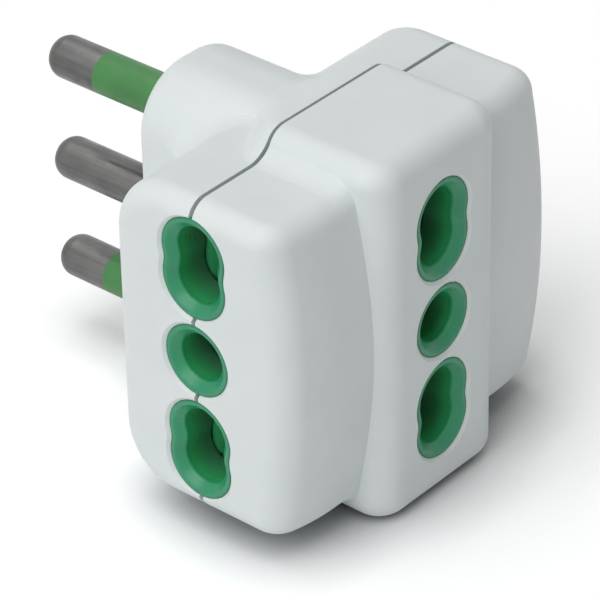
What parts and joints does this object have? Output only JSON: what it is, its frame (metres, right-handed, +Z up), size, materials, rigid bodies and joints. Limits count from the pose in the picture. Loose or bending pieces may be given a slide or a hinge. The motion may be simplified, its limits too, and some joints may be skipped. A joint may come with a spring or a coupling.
{
  "type": "multi socket adapter",
  "caption": "Plug-in mains adapter: a round-pin plug on a neck feeds shuttered sockets on both ends and on the front of a white, T-shaped, two-part housing.",
  "frame": {"origin": "middle of the plug face, on the earth pin's axis", "axes": "+Y along the pins towards their tips, +Z up, +X towards the right-hand socket"},
  "size_m": [0.0444, 0.0548, 0.044],
  "materials": {
    "housing_white": "fine satin, slightly textured",
    "insert_green": "smooth moulded",
    "shutter_green": "smooth moulded",
    "inner_plastic": "plain moulded",
    "sleeve_green": "satin insulating sleeve",
    "pin_nickel": "nickel plated, satin",
    "contact_brass": "bright rolled strip",
    "spring_steel": "drawn wire"
  },
  "bodies": {
    "housing": {"front_shell": "housing_white", "rear_shell": "housing_white", "pin_plate": "inner_plastic", "line_bus_bar": "contact_brass", "neutral_bus_bar": "contact_brass", "earth_bus_bar": "contact_brass", "line_pin": "pin_nickel", "neutral_pin": "pin_nickel", "earth_pin": "pin_nickel", "line_pin_sleeve": "sleeve_green", "neutral_pin_sleeve": "sleeve_green", "left_insert": "insert_green", "left_cover": "inner_plastic", "left_shutter_spring": "spring_steel", "front_insert": "insert_green", "front_cover": "inner_plastic", "front_shutter_spring": "spring_steel", "right_insert": "insert_green", "right_cover": "inner_plastic", "right_shutter_spring": "spring_steel"},
    "left_shutter": {"left_shutter": "shutter_green"},
    "front_shutter": {"front_shutter": "shutter_green"},
    "right_shutter": {"right_shutter": "shutter_green"}
  },
  "joints": [
    {"name": "left_shutter_slide", "type": "slide", "parent": "housing", "child": "left_shutter", "axis": [0, 1, 0], "range_m": [0, 0.0045], "stiffness_N_per_m": 200, "springref_m": -0.004, "deforming": ["left_shutter_spring"]},
    {"name": "front_shutter_slide", "type": "slide", "parent": "housing", "child": "front_shutter", "axis": [1, 0, 0], "range_m": [0, 0.0045], "stiffness_N_per_m": 200, "springref_m": -0.004, "deforming": ["front_shutter_spring"]},
    {"name": "right_shutter_slide", "type": "slide", "parent": "housing", "child": "right_shutter", "axis": [0, 1, 0], "range_m": [0, 0.0045], "stiffness_N_per_m": 200, "springref_m": -0.004, "deforming": ["right_shutter_spring"]}
  ]
}
